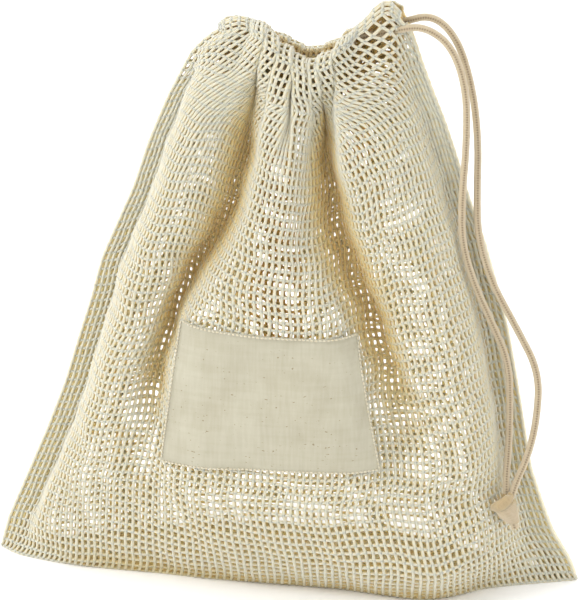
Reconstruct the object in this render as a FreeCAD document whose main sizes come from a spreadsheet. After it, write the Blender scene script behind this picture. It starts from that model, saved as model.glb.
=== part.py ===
import FreeCAD, Part
import math
import os

import Sketcher
from FreeCAD import Vector

# Drawstring produce bag of open cotton net, standing on its opened-out bottom fold.
# Millimetres. +Z up, X across the bag, -Y its front. The origin is on the floor,
# under the middle of the bag. The free cord hangs from the right end of the mouth.

doc = FreeCAD.newDocument("mesh_produce_bag")


# ---------------------------------------------------------------- driving sizes

# The bag is a front and a back panel that meet at two pointed side edges. A level
# is a height, the reach of its two side edges and the bulge of each panel there.
LEVELS = ["floor", "skirt", "lower", "middle", "upper", "neck", "crown"]

DIMENSIONS = {
    "floor_height": 0, "floor_left": 153, "floor_right": 153, "floor_bulge": 56,
    "skirt_height": 52, "skirt_left": 133, "skirt_right": 131, "skirt_bulge": 55,
    "lower_height": 104, "lower_left": 115.5, "lower_right": 118.5, "lower_bulge": 50.5,
    "middle_height": 156, "middle_left": 99, "middle_right": 106, "middle_bulge": 43,
    "upper_height": 208, "upper_left": 80.5, "upper_right": 91.5, "upper_bulge": 32,
    "neck_height": 260, "neck_left": 59, "neck_right": 74.5, "neck_bulge": 17,
    "crown_height": 312, "crown_left": 26, "crown_right": 54, "crown_bulge": 7,
    # How far a surface lies outside a panel's outer face.
    "skin_offset": 0, "lining_offset": -1.2, "flap_offset": -2.2, "floor_offset": -0.6,
    "hem_thread_offset": 0.5, "patch_offset": 0.8, "patch_thread_offset": 1.3,
    "patch_left": 57, "patch_right": 52, "patch_bottom": 75, "patch_top": 150,
    "patch_stitch_inset": 2.5,
    "seam_width": 12, "seam_thickness": 2.4, "seam_top": 262,
    "overlock_width": 3, "overlock_thickness": 3.4,
    "thread_width": 0.7, "stitch_pitch": 3.3, "stitch_length": 2.2,
    "casing_radius": 5, "bore_radius": 2.4, "flap_depth": 10, "stitch_drop": 8,
    "cord_diameter": 3.5, "strand_spread": 5.3, "stub_end": 36, "stub_gap": 0.5,
    "exit_reach": 60, "exit_height": 300, "pull_slope": 0.2126,
    "knot_width": 14.5, "knot_depth": 12.5, "knot_length": 16,
}

sheet = doc.addObject("Spreadsheet::Sheet", "dims")
for row, (alias, value) in enumerate(DIMENSIONS.items(), start=1):
    sheet.set(f"A{row}", alias)
    sheet.set(f"B{row}", str(value))
    sheet.setAlias(f"B{row}", alias)
doc.recompute()


def dim(alias):
    """The value of one cell of the sheet."""
    return float(sheet.get(alias))


FRONT, BACK = -1, 1
CORD = dim("cord_diameter")
SPREAD = dim("strand_spread")
FAR = 200


# ---------------------------------------------------------------- routes

def on_pull_line(x, side):
    """Point of the straight line along which one end of the cord is drawn out."""
    rise = (x - dim("exit_reach")) * dim("pull_slope")
    return Vector(x, side * SPREAD, dim("exit_height") + rise)


def casing_half(side):
    """Middle of the casing on one side, from the cord's exit to the left ear."""
    corners = [(20, 10.5, 281.5), (8, 12.5, 275), (-6, 12, 280), (-17, 10, 288.5),
               (-27, 8.5, 292), (-35, 8, 289), (-40, 4, 285.5)]
    start = [on_pull_line(dim("exit_reach"), side), on_pull_line(29, side)]
    return start + [Vector(x, side * y, z) for x, y, z in corners]


CASING_ROUTE = casing_half(FRONT) + casing_half(BACK)[::-1]

# The free ends of the cord, from inside the casing to inside the knot: out of the
# bag's right ear, over, down beside its right edge, and down its front to the knot.
FRONT_STRAND = [
    on_pull_line(dim("stub_end"), FRONT), on_pull_line(56.5, FRONT),
    Vector(70, -5.6, 301), Vector(83, -7, 290), Vector(90.5, -8.5, 268),
    Vector(91, -10, 240), Vector(89.3, -11.5, 213), Vector(89.8, -13, 190),
    Vector(96.5, -13.5, 168), Vector(106, -12.5, 147), Vector(115.3, -12.5, 126),
    Vector(116.5, -14.5, 101), Vector(116.3, -18.5, 77), Vector(115.2, -24, 58.5),
    Vector(114.6, -27, 48),
]
BACK_STRAND = [
    on_pull_line(dim("stub_end"), BACK), on_pull_line(56.5, BACK),
    Vector(71.5, 4.6, 301.4), Vector(86, 1.5, 291.5), Vector(94.8, -1.5, 269),
    Vector(97.2, -4, 241), Vector(96.5, -6, 214), Vector(97.5, -8, 192),
    Vector(105, -9.5, 168), Vector(118.5, -10, 144), Vector(131, -12, 121),
    Vector(130.5, -15.5, 96), Vector(125.5, -21, 72), Vector(120.2, -26, 57),
    Vector(118.8, -27.4, 48),
]
KNOT_MIDDLE = Vector(116.8, -27, 49)
TAILS = {
    "front_cord_tail": (Vector(117, -29, 44), Vector(119.6, -29.6, 35)),
    "back_cord_tail": (Vector(119, -25, 44), Vector(122.2, -25.2, 36)),
}
ARC_SHARE = 0.45


def rounded_wire(points, name=None):
    """Straight runs joined by tangent arcs, each as large as its two runs allow."""
    edges = []
    radii = []
    last = points[0]
    for before, corner, after in zip(points, points[1:], points[2:]):
        inward = before - corner
        onward = after - corner
        cut = ARC_SHARE * min(inward.Length, onward.Length)
        half_turn = (math.pi - inward.getAngle(onward)) / 2
        radius = cut / math.tan(half_turn)
        first = corner + inward.normalize() * cut
        second = corner + onward.normalize() * cut
        bisector = (inward + onward).normalize()
        middle = corner + bisector * (math.hypot(radius, cut) - radius)
        edges.append(Part.LineSegment(last, first).toShape())
        edges.append(Part.Arc(first, middle, second).toShape())
        radii.append(round(radius, 1))
        last = second
    edges.append(Part.LineSegment(last, points[-1]).toShape())
    if name:
        print(f"{name}: radii {radii}")
    return Part.Wire(edges)


def tube(points, radius, name=None):
    """Round solid of one radius along a route."""
    path = rounded_wire(points, name)
    circle = Part.Circle(points[0], points[1] - points[0], radius)
    solid = path.makePipeShell([Part.Wire(circle.toShape())], True, False)
    if name:
        ratio = solid.Volume / (math.pi * radius ** 2 * path.Length)
        print(f"{name}: length {path.Length:.1f}, volume over section times length {ratio:.4f}")
    return solid


# ---------------------------------------------------------------- panel sections

def origin_plane(body, role):
    """The body's own origin plane with this role."""
    for feature in body.Origin.OriginFeatures:
        if feature.Role == role:
            return feature
    raise ValueError(role)


def lens(level):
    """Middle, bulge and radius of the panel's arc at one level."""
    left, right, bulge = (dim(f"{level}_{part}") for part in ("left", "right", "bulge"))
    half = (left + right) / 2
    return (right - left) / 2, bulge, (half ** 2 + bulge ** 2) / (2 * bulge)


def lens_radius(level):
    """The same radius as an expression on the sheet."""
    half = f"(dims.{level}_left + dims.{level}_right) / 2"
    bulge = f"dims.{level}_bulge"
    return f"(pow({half}; 2) + pow({bulge}; 2)) / (2 * {bulge})"


def new_sketch(body, name, level):
    """Empty sketch on the body's own floor plane, raised to one level."""
    sketch = body.newObject("Sketcher::SketchObject", name)
    sketch.AttachmentSupport = [(origin_plane(body, "XY_Plane"), "")]
    sketch.MapMode = "FlatFace"
    sketch.setExpression(".AttachmentOffset.Base.z", f"dims.{level}_height")
    return sketch


def bind(sketch, constraint, expression):
    """Add a constraint and tie its size to the sheet."""
    index = sketch.addConstraint(constraint)
    sketch.setExpression(f"Constraints[{index}]", expression)


def add_cap(sketch, level, side, offset):
    """Arc of a panel at one level, moved outwards by an offset, ending on the X axis."""
    middle, bulge, radius = lens(level)
    depth = radius - bulge
    radius += dim(offset)
    spread = math.acos(depth / radius)
    heading = side * math.pi / 2
    circle = Part.Circle(Vector(middle, -side * depth, 0), Vector(0, 0, 1), radius)
    arc = sketch.addGeometry(Part.ArcOfCircle(circle, heading - spread, heading + spread))
    for end in (1, 2):
        sketch.addConstraint(Sketcher.Constraint("PointOnObject", arc, end, -1))
    bind(sketch, Sketcher.Constraint("Radius", arc, radius),
         f"{lens_radius(level)} + dims.{offset}")
    return arc


def place_centre(sketch, arc, level, side):
    """Tie an arc's centre to the sheet: its way off the X axis and off the Y axis."""
    middle, bulge, radius = lens(level)
    depth = radius - bulge
    ends = (-1, 1, arc, 3) if side == FRONT else (arc, 3, -1, 1)
    bind(sketch, Sketcher.Constraint("DistanceY", *ends, depth),
         f"{lens_radius(level)} - dims.{level}_bulge")
    bind(sketch, Sketcher.Constraint("DistanceX", -1, 1, arc, 3, middle),
         f"(dims.{level}_right - dims.{level}_left) / 2")


def join_ends(sketch, first, second):
    """Straight line from each end of one arc to the same end of the other."""
    starts = (sketch.Geometry[first].StartPoint, sketch.Geometry[first].EndPoint)
    stops = (sketch.Geometry[second].StartPoint, sketch.Geometry[second].EndPoint)
    for end, (start, stop) in enumerate(zip(starts, stops), start=1):
        line = sketch.addGeometry(Part.LineSegment(start, stop))
        sketch.addConstraint(Sketcher.Constraint("Coincident", line, 1, first, end))
        sketch.addConstraint(Sketcher.Constraint("Coincident", line, 2, second, end))


def strip_section(body, name, level, side, outer, inner):
    """Section of a curved sheet: two concentric arcs cut off at the plane Y = 0."""
    sketch = new_sketch(body, name, level)
    first = add_cap(sketch, level, side, outer)
    second = add_cap(sketch, level, side, inner)
    sketch.addConstraint(Sketcher.Constraint("Coincident", first, 3, second, 3))
    place_centre(sketch, first, level, side)
    join_ends(sketch, first, second)
    return sketch


def half_lens(body, name, level, side, offset):
    """Section of the half of the bag on one side of the plane Y = 0."""
    sketch = new_sketch(body, name, level)
    arc = add_cap(sketch, level, side, offset)
    place_centre(sketch, arc, level, side)
    shape = sketch.Geometry[arc]
    line = sketch.addGeometry(Part.LineSegment(shape.StartPoint, shape.EndPoint))
    for end in (1, 2):
        sketch.addConstraint(Sketcher.Constraint("Coincident", line, end, arc, end))
    return sketch


def add_loft(body, name, sections):
    """Smooth loft through a body's sections, from the floor up."""
    loft = body.newObject("PartDesign::AdditiveLoft", name)
    loft.Profile = sections[0]
    loft.Sections = sections[1:]
    loft.Ruled = False
    return loft


def curved_sheet(name, side, outer, inner, with_floor=False):
    """Body of a sheet that follows one panel over its whole height."""
    body = doc.addObject("PartDesign::Body", name)
    sections = [strip_section(body, f"{name}_{level}", level, side, outer, inner)
                for level in LEVELS]
    if with_floor:
        pad = body.newObject("PartDesign::Pad", f"{name}_floor_pad")
        pad.Profile = half_lens(body, f"{name}_floor_lens", "floor", side, "floor_offset")
        pad.setExpression("Length", f"-dims.{inner}")
        doc.recompute()
    add_loft(body, f"{name}_loft", sections)
    doc.recompute()
    return body


def bag_space(side):
    """Solid half of the room inside the bag, as far as the panel's inner face."""
    name = f"space_{'front' if side == FRONT else 'back'}"
    body = doc.addObject("PartDesign::Body", name)
    sections = [half_lens(body, f"{name}_{level}", level, side, "lining_offset")
                for level in LEVELS]
    add_loft(body, f"{name}_loft", sections)
    doc.recompute()
    return body


# ---------------------------------------------------------------- flat outlines

def prism(corners, near=-FAR, far=FAR):
    """Solid with a straight-sided outline in X and Z, from one Y to another."""
    points = [Vector(x, near, z) for x, z in corners]
    face = Part.Face(Part.makePolygon(points + points[:1]))
    return face.extrude(Vector(0, far - near, 0))


def rim_heights():
    """The casing's middle line in X and Z, from the left ear to the exit."""
    return [(point.x, point.z) for point in reversed(casing_half(FRONT))]


def below_rim(drop=0):
    """Everything lower than the casing's middle line, lowered by a drop."""
    line = [(x, z - drop) for x, z in rim_heights()]
    left, right = line[0][1], line[-1][1]
    return prism([(-FAR, -FAR), (FAR, -FAR), (FAR, right)] + line[::-1] + [(-FAR, left)])


def dash(x, z, angle):
    """One stitch: a short bar in X and Z, turned about Y, far through in Y."""
    length, width = dim("stitch_length"), dim("thread_width")
    bar = Part.makeBox(length, 2 * FAR, width, Vector(-length / 2, -FAR, -width / 2))
    bar.rotate(Vector(0, 0, 0), Vector(0, 1, 0), -angle)
    bar.translate(Vector(x, 0, z))
    return bar


def dashes_between(start, stop):
    """A row of stitches from one point in X and Z to another."""
    (x0, z0), (x1, z1) = start, stop
    run = math.hypot(x1 - x0, z1 - z0)
    count = int(run / dim("stitch_pitch"))
    angle = math.degrees(math.atan2(z1 - z0, x1 - x0))
    row = []
    for index in range(count):
        share = (index + 0.5) / count
        row.append(dash(x0 + (x1 - x0) * share, z0 + (z1 - z0) * share, angle))
    return row


# ---------------------------------------------------------------- sub-parts

subparts = []


def keep(label, shape, place=Vector(0, 0, 0)):
    """Add a finished sub-part whose shape comes from Part's own functions."""
    part = doc.addObject("Part::Feature", label)
    part.Label = label
    part.Shape = shape
    part.Placement = FreeCAD.Placement(place, FreeCAD.Rotation())
    subparts.append(part)


SIDE_NAMES = {FRONT: "front", BACK: "back"}
HALF_SPACES = {
    FRONT: Part.makeBox(2 * FAR, FAR, 2 * FAR, Vector(-FAR, -FAR, 0)),
    BACK: Part.makeBox(2 * FAR, FAR, 2 * FAR, Vector(-FAR, 0, 0)),
}
CASING_TUBE = tube(CASING_ROUTE, dim("casing_radius"))
CASING_BORE = tube(CASING_ROUTE, dim("bore_radius"))


def make_panel(side):
    """Net panel with its half of the bottom, up into the underside of the casing."""
    name = f"{SIDE_NAMES[side]}_net_panel"
    sheet_body = curved_sheet(f"{name}_blank", side, "skin_offset", "lining_offset", True)
    shape = sheet_body.Shape.common(below_rim()).cut(CASING_TUBE)
    keep(name, largest(shape))


def largest(shape):
    """The biggest solid of a shape, without offcuts."""
    return max(shape.Solids, key=lambda solid: solid.Volume)


def make_casing(side):
    """Half of the tunnel round the mouth, with the hem flap hanging inside the panel."""
    name = f"{SIDE_NAMES[side]}_casing_hem"
    lining = curved_sheet(f"{name}_flap_blank", side, "lining_offset", "flap_offset")
    flap = lining.Shape.common(below_rim()).cut(below_rim(dim("flap_depth")))
    half = CASING_TUBE.common(HALF_SPACES[side])
    keep(name, largest(half.fuse(flap).cut(CASING_BORE)))


def make_hem_stitching(side):
    """Row of stitches through the hem flap, a little below the casing and clear of it."""
    name = f"{SIDE_NAMES[side]}_hem_stitching"
    blank = curved_sheet(f"{name}_blank", side, "hem_thread_offset", "skin_offset")
    line = [(x, z - dim("stitch_drop")) for x, z in rim_heights()]
    bars = []
    for start, stop in zip(line, line[1:]):
        bars += dashes_between(start, stop)
    stitches = whole_stitches(blank.Shape, bars)
    clear = [s for s in stitches if not s.common(CASING_TUBE).Solids]
    keep(name, Part.makeCompound(clear))


def whole_stitches(blank, bars):
    """The stitches that a thin sheet leaves of a row of bars."""
    stitches = []
    for bar in bars:
        stitches += blank.common(bar).Solids
    fullest = max(stitch.Volume for stitch in stitches)
    return [stitch for stitch in stitches if stitch.Volume > fullest / 4]


def make_patch():
    """Woven label patch on the front, and the stitches round its edge."""
    left, right = -dim("patch_left"), dim("patch_right")
    bottom, top = dim("patch_bottom"), dim("patch_top")
    blank = curved_sheet("label_patch_blank", FRONT, "patch_offset", "skin_offset")
    keep("label_patch", largest(blank.Shape.common(
        prism([(left, bottom), (right, bottom), (right, top), (left, top)]))))
    inset = dim("patch_stitch_inset")
    corners = [(left + inset, bottom + inset), (right - inset, bottom + inset),
               (right - inset, top - inset), (left + inset, top - inset)]
    bars = []
    for start, stop in zip(corners, corners[1:] + corners[:1]):
        bars += dashes_between(start, stop)
    thread = curved_sheet("patch_thread_blank", FRONT, "patch_thread_offset", "patch_offset")
    keep("patch_stitching", Part.makeCompound(whole_stitches(thread.Shape, bars)))


def edge_line(end, inset):
    """The bag's side edge in X and Z, moved in by an inset, up to the top of the seam."""
    line = []
    for level in LEVELS:
        reach = dim(f"{level}_{end}") - inset
        line.append((-reach if end == "left" else reach, dim(f"{level}_height")))
    return line


def seam_strip(end, start, stop, thickness):
    """Strip along a side edge, between two insets from it, in the plane Y = 0."""
    outline = edge_line(end, start) + edge_line(end, stop)[::-1]
    strip = prism(outline, -thickness / 2, thickness / 2)
    above_floor = dim("skin_offset") - dim("lining_offset")
    slab = Part.makeBox(2 * FAR, 2 * FAR, dim("seam_top") - above_floor,
                        Vector(-FAR, -FAR, above_floor))
    return strip.common(slab)


def make_side_seam(end, space):
    """Seam allowance inside one side edge, and the overlock thread along it."""
    width = dim("seam_width")
    allowance = seam_strip(end, 0, width, dim("seam_thickness")).common(space)
    keep(f"{end}_seam_allowance", largest(allowance))
    overlock = seam_strip(end, width, width + dim("overlock_width"),
                          dim("overlock_thickness")).common(space)
    keep(f"{end}_overlock_stitching", largest(overlock))


def make_cord():
    """The drawcord: the part held in the casing, and its two free strands."""
    radius = CORD / 2
    inner = Part.makeBox(FAR + dim("stub_end") - dim("stub_gap"), 2 * FAR, 2 * FAR,
                         Vector(-FAR, -FAR, 0))
    keep("drawcord_in_casing", tube(CASING_ROUTE, radius, "drawcord in casing")
         .common(inner))
    knot = knot_lump()
    knot.translate(KNOT_MIDDLE)
    strands = {"front_cord_strand": FRONT_STRAND, "back_cord_strand": BACK_STRAND}
    for name, points in strands.items():
        keep(name, largest(tube(points, radius, name).cut(knot)))
    keep("cord_knot", knot_lump(), KNOT_MIDDLE)
    for name, (start, stop) in TAILS.items():
        run = stop - start
        tail = Part.makeCylinder(radius, run.Length, start, run)
        keep(name, largest(tail.cut(knot)))


def knot_lump():
    """Overhand knot of both strands, as one rounded lump about its own middle."""
    stretch = FreeCAD.Matrix()
    stretch.scale(dim("knot_width") / 2, dim("knot_depth") / 2, dim("knot_length") / 2)
    return Part.makeSphere(1).transformGeometry(stretch)


for side in (FRONT, BACK):
    make_panel(side)
    make_casing(side)
    make_hem_stitching(side)
make_patch()
inside = bag_space(FRONT).Shape.fuse(bag_space(BACK).Shape)
for end in ("left", "right"):
    make_side_seam(end, inside)
make_cord()

doc.recompute()

for item in doc.Objects:
    bad = {"Invalid", "Error"} & set(item.State)
    if bad:
        raise RuntimeError(f"{item.Label} is {bad}")
for part in subparts:
    if part.Shape.isNull() or not part.Shape.isValid():
        raise RuntimeError(f"{part.Label} has no valid shape")

os.makedirs("parts", exist_ok=True)
for part in subparts:
    part.Shape.exportStep(f"parts/{part.Label}.step")
    box = part.Shape.BoundBox
    print(f"{part.Label}: solids {len(part.Shape.Solids)}, volume {part.Shape.Volume:.0f}, "
          f"X {box.XMin:.1f}..{box.XMax:.1f}, Y {box.YMin:.1f}..{box.YMax:.1f}, "
          f"Z {box.ZMin:.1f}..{box.ZMax:.1f}")
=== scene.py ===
import math

import bpy
import numpy as np
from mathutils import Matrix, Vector
from mathutils.bvhtree import BVHTree


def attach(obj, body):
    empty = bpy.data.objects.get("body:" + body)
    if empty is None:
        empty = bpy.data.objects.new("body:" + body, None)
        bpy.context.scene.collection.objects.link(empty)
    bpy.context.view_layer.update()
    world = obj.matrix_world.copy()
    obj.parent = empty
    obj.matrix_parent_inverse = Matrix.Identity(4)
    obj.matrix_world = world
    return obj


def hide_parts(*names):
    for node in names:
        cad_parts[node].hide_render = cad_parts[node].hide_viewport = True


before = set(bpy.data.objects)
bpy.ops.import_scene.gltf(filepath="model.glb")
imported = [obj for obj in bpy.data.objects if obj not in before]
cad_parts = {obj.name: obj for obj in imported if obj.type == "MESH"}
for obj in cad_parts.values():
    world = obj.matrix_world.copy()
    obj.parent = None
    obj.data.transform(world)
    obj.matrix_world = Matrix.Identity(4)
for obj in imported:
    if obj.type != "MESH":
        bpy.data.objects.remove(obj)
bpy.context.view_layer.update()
MM = 0.001


# ---------------------------------------------------------------- materials

def material(name, rough, sheen=0.0):
    """A new node material: its shader, its nodes and its links."""
    made = bpy.data.materials.new(name)
    made.use_nodes = True
    shader = made.node_tree.nodes["Principled BSDF"]
    shader.inputs["Roughness"].default_value = rough
    shader.inputs["Specular IOR Level"].default_value = 0.25
    shader.inputs["Sheen Weight"].default_value = sheen
    shader.inputs["Sheen Roughness"].default_value = 0.6
    return made, shader, made.node_tree.nodes, made.node_tree.links


def noise(nodes, links, scale, detail=2.0, stretch=None):
    """Noise over the object's own coordinates, finer along some axes if stretched."""
    place = nodes.new("ShaderNodeTexCoord")
    mapping = nodes.new("ShaderNodeMapping")
    if stretch:
        mapping.inputs["Scale"].default_value = stretch
    texture = nodes.new("ShaderNodeTexNoise")
    texture.inputs["Scale"].default_value = scale
    texture.inputs["Detail"].default_value = detail
    links.new(place.outputs["Object"], mapping.inputs["Vector"])
    links.new(mapping.outputs["Vector"], texture.inputs["Vector"])
    return texture.outputs["Fac"]


def ramp(nodes, links, source, stops):
    """Colours along a value, as (place, colour) stops."""
    made = nodes.new("ShaderNodeValToRGB")
    band = made.color_ramp
    while len(band.elements) < len(stops):
        band.elements.new(0.5)
    for element, (place, colour) in zip(band.elements, stops):
        element.position = place
        element.color = (*colour, 1)
    links.new(source, made.inputs["Fac"])
    return made.outputs["Color"]


def multiply(nodes, links, share, first, second):
    """The first colour times the second one, by a share from 0 to 1."""
    mix = nodes.new("ShaderNodeMix")
    mix.data_type = "RGBA"
    mix.blend_type = "MULTIPLY"
    mix.inputs["Factor"].default_value = share
    colours = {socket.name: socket for socket in mix.inputs if socket.type == "RGBA"}
    links.new(first, colours["A"])
    links.new(second, colours["B"])
    return next(socket for socket in mix.outputs if socket.type == "RGBA")


def maths(nodes, links, way, first, second=0):
    """One sum on one or two values, each a number or a socket."""
    node = nodes.new("ShaderNodeMath")
    node.operation = way
    for index, source in enumerate((first, second)):
        if isinstance(source, (int, float)):
            node.inputs[index].default_value = source
        else:
            links.new(source, node.inputs[index])
    return node.outputs[0]


def bump(nodes, links, shader, height, strength, distance):
    """Raise the surface by a value."""
    node = nodes.new("ShaderNodeBump")
    node.inputs["Strength"].default_value = strength
    node.inputs["Distance"].default_value = distance
    links.new(height, node.inputs["Height"])
    links.new(node.outputs["Normal"], shader.inputs["Normal"])


def attribute(nodes, name):
    """The value that a piece's points carry under a name."""
    node = nodes.new("ShaderNodeAttribute")
    node.attribute_name = name
    return node.outputs["Fac"]


# Painted shade: what a yarn's colour is multiplied by as it lies deeper in a fold or behind other cloth.
SHADE_DEPTHS = [(0.0, (1, 1, 1)), (0.5, (0.87, 0.77, 0.53)), (1.0, (0.60, 0.475, 0.26))]


def yarn_material(name, stops, fleck):
    """Cotton yarn that lets light through, with painted light and shade: coloured by how far round to its
    inner side, into a fold or into a groove it lies, and browner with painted shade deeper in folds and
    behind other cloth.
    """
    made, shader, nodes, links = material(name, 0.82, 0.35)
    shader.inputs["Subsurface Weight"].default_value = 0.75
    shader.inputs["Subsurface Radius"].default_value = (1.0, 0.85, 0.65)
    shader.inputs["Subsurface Scale"].default_value = 0.0016
    colour = multiply(nodes, links, 1.0, ramp(nodes, links, attribute(nodes, "tone"), stops),
                      ramp(nodes, links, attribute(nodes, "depth"), SHADE_DEPTHS))
    uneven = ramp(nodes, links, noise(nodes, links, 420, 3), [(0.3, (0.72, 0.68, 0.6)), (0.62, (1, 1, 1))])
    links.new(multiply(nodes, links, fleck, colour, uneven), shader.inputs["Base Color"])
    bump(nodes, links, shader, noise(nodes, links, 2600, 2), 0.6, 0.0003)
    return made


# Each stop is a tone of painted light and shade: 0 is a yarn's outer side on a crest, and higher is its
# inner side or a fold, painted a richer gold for light passing through the cotton inside the bag.
NET = yarn_material("cotton_net_yarn", [(0.0, (0.57, 0.56, 0.46)), (0.2, (0.66, 0.595, 0.42)),
                                        (0.5, (0.93, 0.79, 0.47))], 0.25)
# painted shade: the darker stop is the colour painted on a thread's inner side and where it lies in shade
THREAD = yarn_material("sewing_thread", [(0.0, (0.58, 0.54, 0.42)), (1.0, (0.4, 0.32, 0.2))], 0.3)


# ---------------------------------------------------------------- mesh helpers

def unit(vectors):
    """Vectors of length one."""
    return vectors / np.maximum(np.linalg.norm(vectors, axis=-1, keepdims=True), 1e-12)


class Tubes:
    """Closed round tubes along many lines, gathered into one mesh."""

    def __init__(self):
        self.points, self.quads, self.ends = [], [], []
        self.tones, self.depths, self.groups = [], [], []
        self.total = 0

    def add(self, lines, up, radius, sides=5, tone=0.0, inner_shade=0.0, depth=0.0):
        """Lines (n, k, 3) in metres; up is their outward side; radius is (n, k) or (k,).

        The painted light-and-shade tone rises from a tube's outward side to its inner side by the amount
        given for the inner side.
        """
        lines = np.asarray(lines, float)
        count, length = lines.shape[:2]
        up = np.broadcast_to(np.asarray(up, float), lines.shape)
        radius = np.broadcast_to(np.asarray(radius, float), (count, length))
        along = unit(np.gradient(lines, axis=1))
        side = unit(np.cross(along, up))
        out = np.cross(side, along)
        turn = 2 * math.pi * (np.arange(sides) + 0.5) / sides
        spoke = (np.cos(turn)[:, None] * side[:, :, None]
                 + np.sin(turn)[:, None] * out[:, :, None])
        self.points.append((lines[:, :, None] + radius[..., None, None] * spoke).reshape(-1, 3))
        tones = np.broadcast_to(np.asarray(tone, float), (count, length))[:, :, None]
        inner = 0.5 - 0.5 * np.sin(turn)[None, None]
        self.tones.append(np.clip(tones + inner_shade * inner, 0, 1).ravel())
        depths = np.broadcast_to(np.asarray(depth, float), (count, length))
        self.depths.append(np.repeat(np.clip(depths, 0, 1), sides))
        base = self.total + np.arange(count * length * sides).reshape(count, length, sides)
        after = np.roll(base, -1, axis=2)
        self.quads.append(np.stack([base[:, :-1], after[:, :-1], after[:, 1:], base[:, 1:]],
                                   axis=-1).reshape(-1, 4))
        self.ends.append(np.concatenate([base[:, 0, ::-1], base[:, -1]]))
        self.groups.append((count, length, sides))
        self.total += count * length * sides

    def mesh(self, name, paint):
        """The finished piece, riding on the bag."""
        points = np.concatenate(self.points)
        quads = np.concatenate(self.quads)
        data = bpy.data.meshes.new(name)
        ends = [cap for group in self.ends for cap in group]
        loops = np.concatenate([quads.ravel()] + ends)
        sizes = np.concatenate([np.full(len(quads), 4), [len(cap) for cap in ends]]).astype(int)
        data.vertices.add(len(points))
        data.vertices.foreach_set("co", points.ravel())
        data.loops.add(len(loops))
        data.loops.foreach_set("vertex_index", loops.astype(np.int32))
        data.polygons.add(len(sizes))
        data.polygons.foreach_set("loop_start", (np.cumsum(sizes) - sizes).astype(np.int32))
        data.polygons.foreach_set("loop_total", sizes.astype(np.int32))
        data.update(calc_edges=True)
        data.polygons.foreach_set("use_smooth", np.ones(len(sizes), bool))
        for label, values in (("tone", self.tones), ("depth", self.depths)):
            layer = data.attributes.new(label, "FLOAT", "POINT")
            layer.data.foreach_set("value", np.concatenate(values).astype(np.float32))
        self.unwrap(data, loops)
        data.materials.append(paint)
        made = bpy.data.objects.new(name, data)
        bpy.context.scene.collection.objects.link(made)
        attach(made, "bag")
        return made

    def unwrap(self, data, loops):
        """Each tube as its own strip of the square, one above the other."""
        strips = sum(count for count, _, _ in self.groups)
        spots, first = [], 0
        for count, length, sides in self.groups:
            across = np.linspace(0.02, 0.98, length)
            for index in range(count):
                low = (first + index + 0.1) / strips
                up = low + 0.8 / strips * np.arange(sides) / sides
                spots.append(np.stack(np.meshgrid(across, up, indexing="ij"), -1).reshape(-1, 2))
            first += count
        spots = np.concatenate(spots)
        layer = data.uv_layers.new(name="OFBake")
        layer.data.foreach_set("uv", spots[loops].ravel().astype(np.float32))


def finer(lines):
    """Lines with a smooth point added halfway along each run."""
    before = np.concatenate([2 * lines[:, :1] - lines[:, 1:2], lines[:, :-1]], axis=1)
    after = np.concatenate([lines[:, 1:], 2 * lines[:, -1:] - lines[:, -2:-1]], axis=1)
    halfway = (9 * (lines[:, :-1] + lines[:, 1:]) - before[:, :-1] - after[:, 1:]) / 16
    made = np.empty((lines.shape[0], 2 * lines.shape[1] - 1) + lines.shape[2:])
    made[:, 0::2], made[:, 1::2] = lines, halfway
    return made


def add_net(tubes, grid, out, tone, inner_shade, depth, first_row=0, knot=1.05, run=0.83):
    """Both sets of yarns of a net whose crossings are a grid (rows, columns, 3).

    A yarn's radius is knot at a crossing and run between two, in millimetres. The yarns that go
    up lie in front of those that go across. The first row's yarn can be left to the piece below.
    """
    lift = 0.0001
    for flip in (False, True):
        nodes = grid.transpose(1, 0, 2) if flip else grid
        faces = out.transpose(1, 0, 2) if flip else out
        tones, depths = (tone.T, depth.T) if flip else (tone, depth)
        if not flip:
            nodes, faces, tones, depths = (each[first_row:] for each in (nodes, faces, tones, depths))
        lines = finer(nodes)
        lines = lines + (lift if flip else -lift) * finer(faces)
        thick = np.where(np.arange(lines.shape[1]) % 2 == 0, knot, run) * MM
        tubes.add(lines, finer(faces), thick, 5, finer(tones[..., None])[..., 0], inner_shade,
                  finer(depths[..., None])[..., 0])


# ---------------------------------------------------------------- camera and light

scene = bpy.context.scene
scene.view_settings.view_transform = "Standard"
AIM = Vector((0, 0, 0.1496))
DISTANCE, ELEVATION, AZIMUTH = 1.6, math.radians(20), math.radians(8)
camera_data = bpy.data.cameras.new("camera")
camera_data.sensor_fit = "HORIZONTAL"
camera_data.sensor_width = 36
camera_data.lens = 192
camera = bpy.data.objects.new("camera", camera_data)
camera.location = AIM + DISTANCE * Vector((
    math.sin(AZIMUTH) * math.cos(ELEVATION), -math.cos(AZIMUTH) * math.cos(ELEVATION),
    math.sin(ELEVATION)))
camera.rotation_euler = (AIM - camera.location).to_track_quat("-Z", "Y").to_euler()
scene.collection.objects.link(camera)
scene.camera = camera


def area_light(name, place, size, power, target=(0, 0, 0.12)):
    """A soft square light that points at the bag."""
    data = bpy.data.lights.new(name, "AREA")
    data.size = size
    data.energy = power
    made = bpy.data.objects.new(name, data)
    made.location = place
    made.rotation_euler = (Vector(target) - Vector(place)).to_track_quat("-Z", "Y").to_euler()
    scene.collection.objects.link(made)


area_light("key", (-1.3, -0.9, 1.3), 0.7, 14)
area_light("fill", (1.4, -1.2, 0.8), 1.2, 2)
area_light("back", (0.3, 1.6, 1.2), 1.2, 6)
world = bpy.data.worlds.new("studio")
world.use_nodes = True
world.node_tree.nodes["Background"].inputs["Color"].default_value = (1, 1, 1, 1)
world.node_tree.nodes["Background"].inputs["Strength"].default_value = 1.2
scene.world = world

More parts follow.
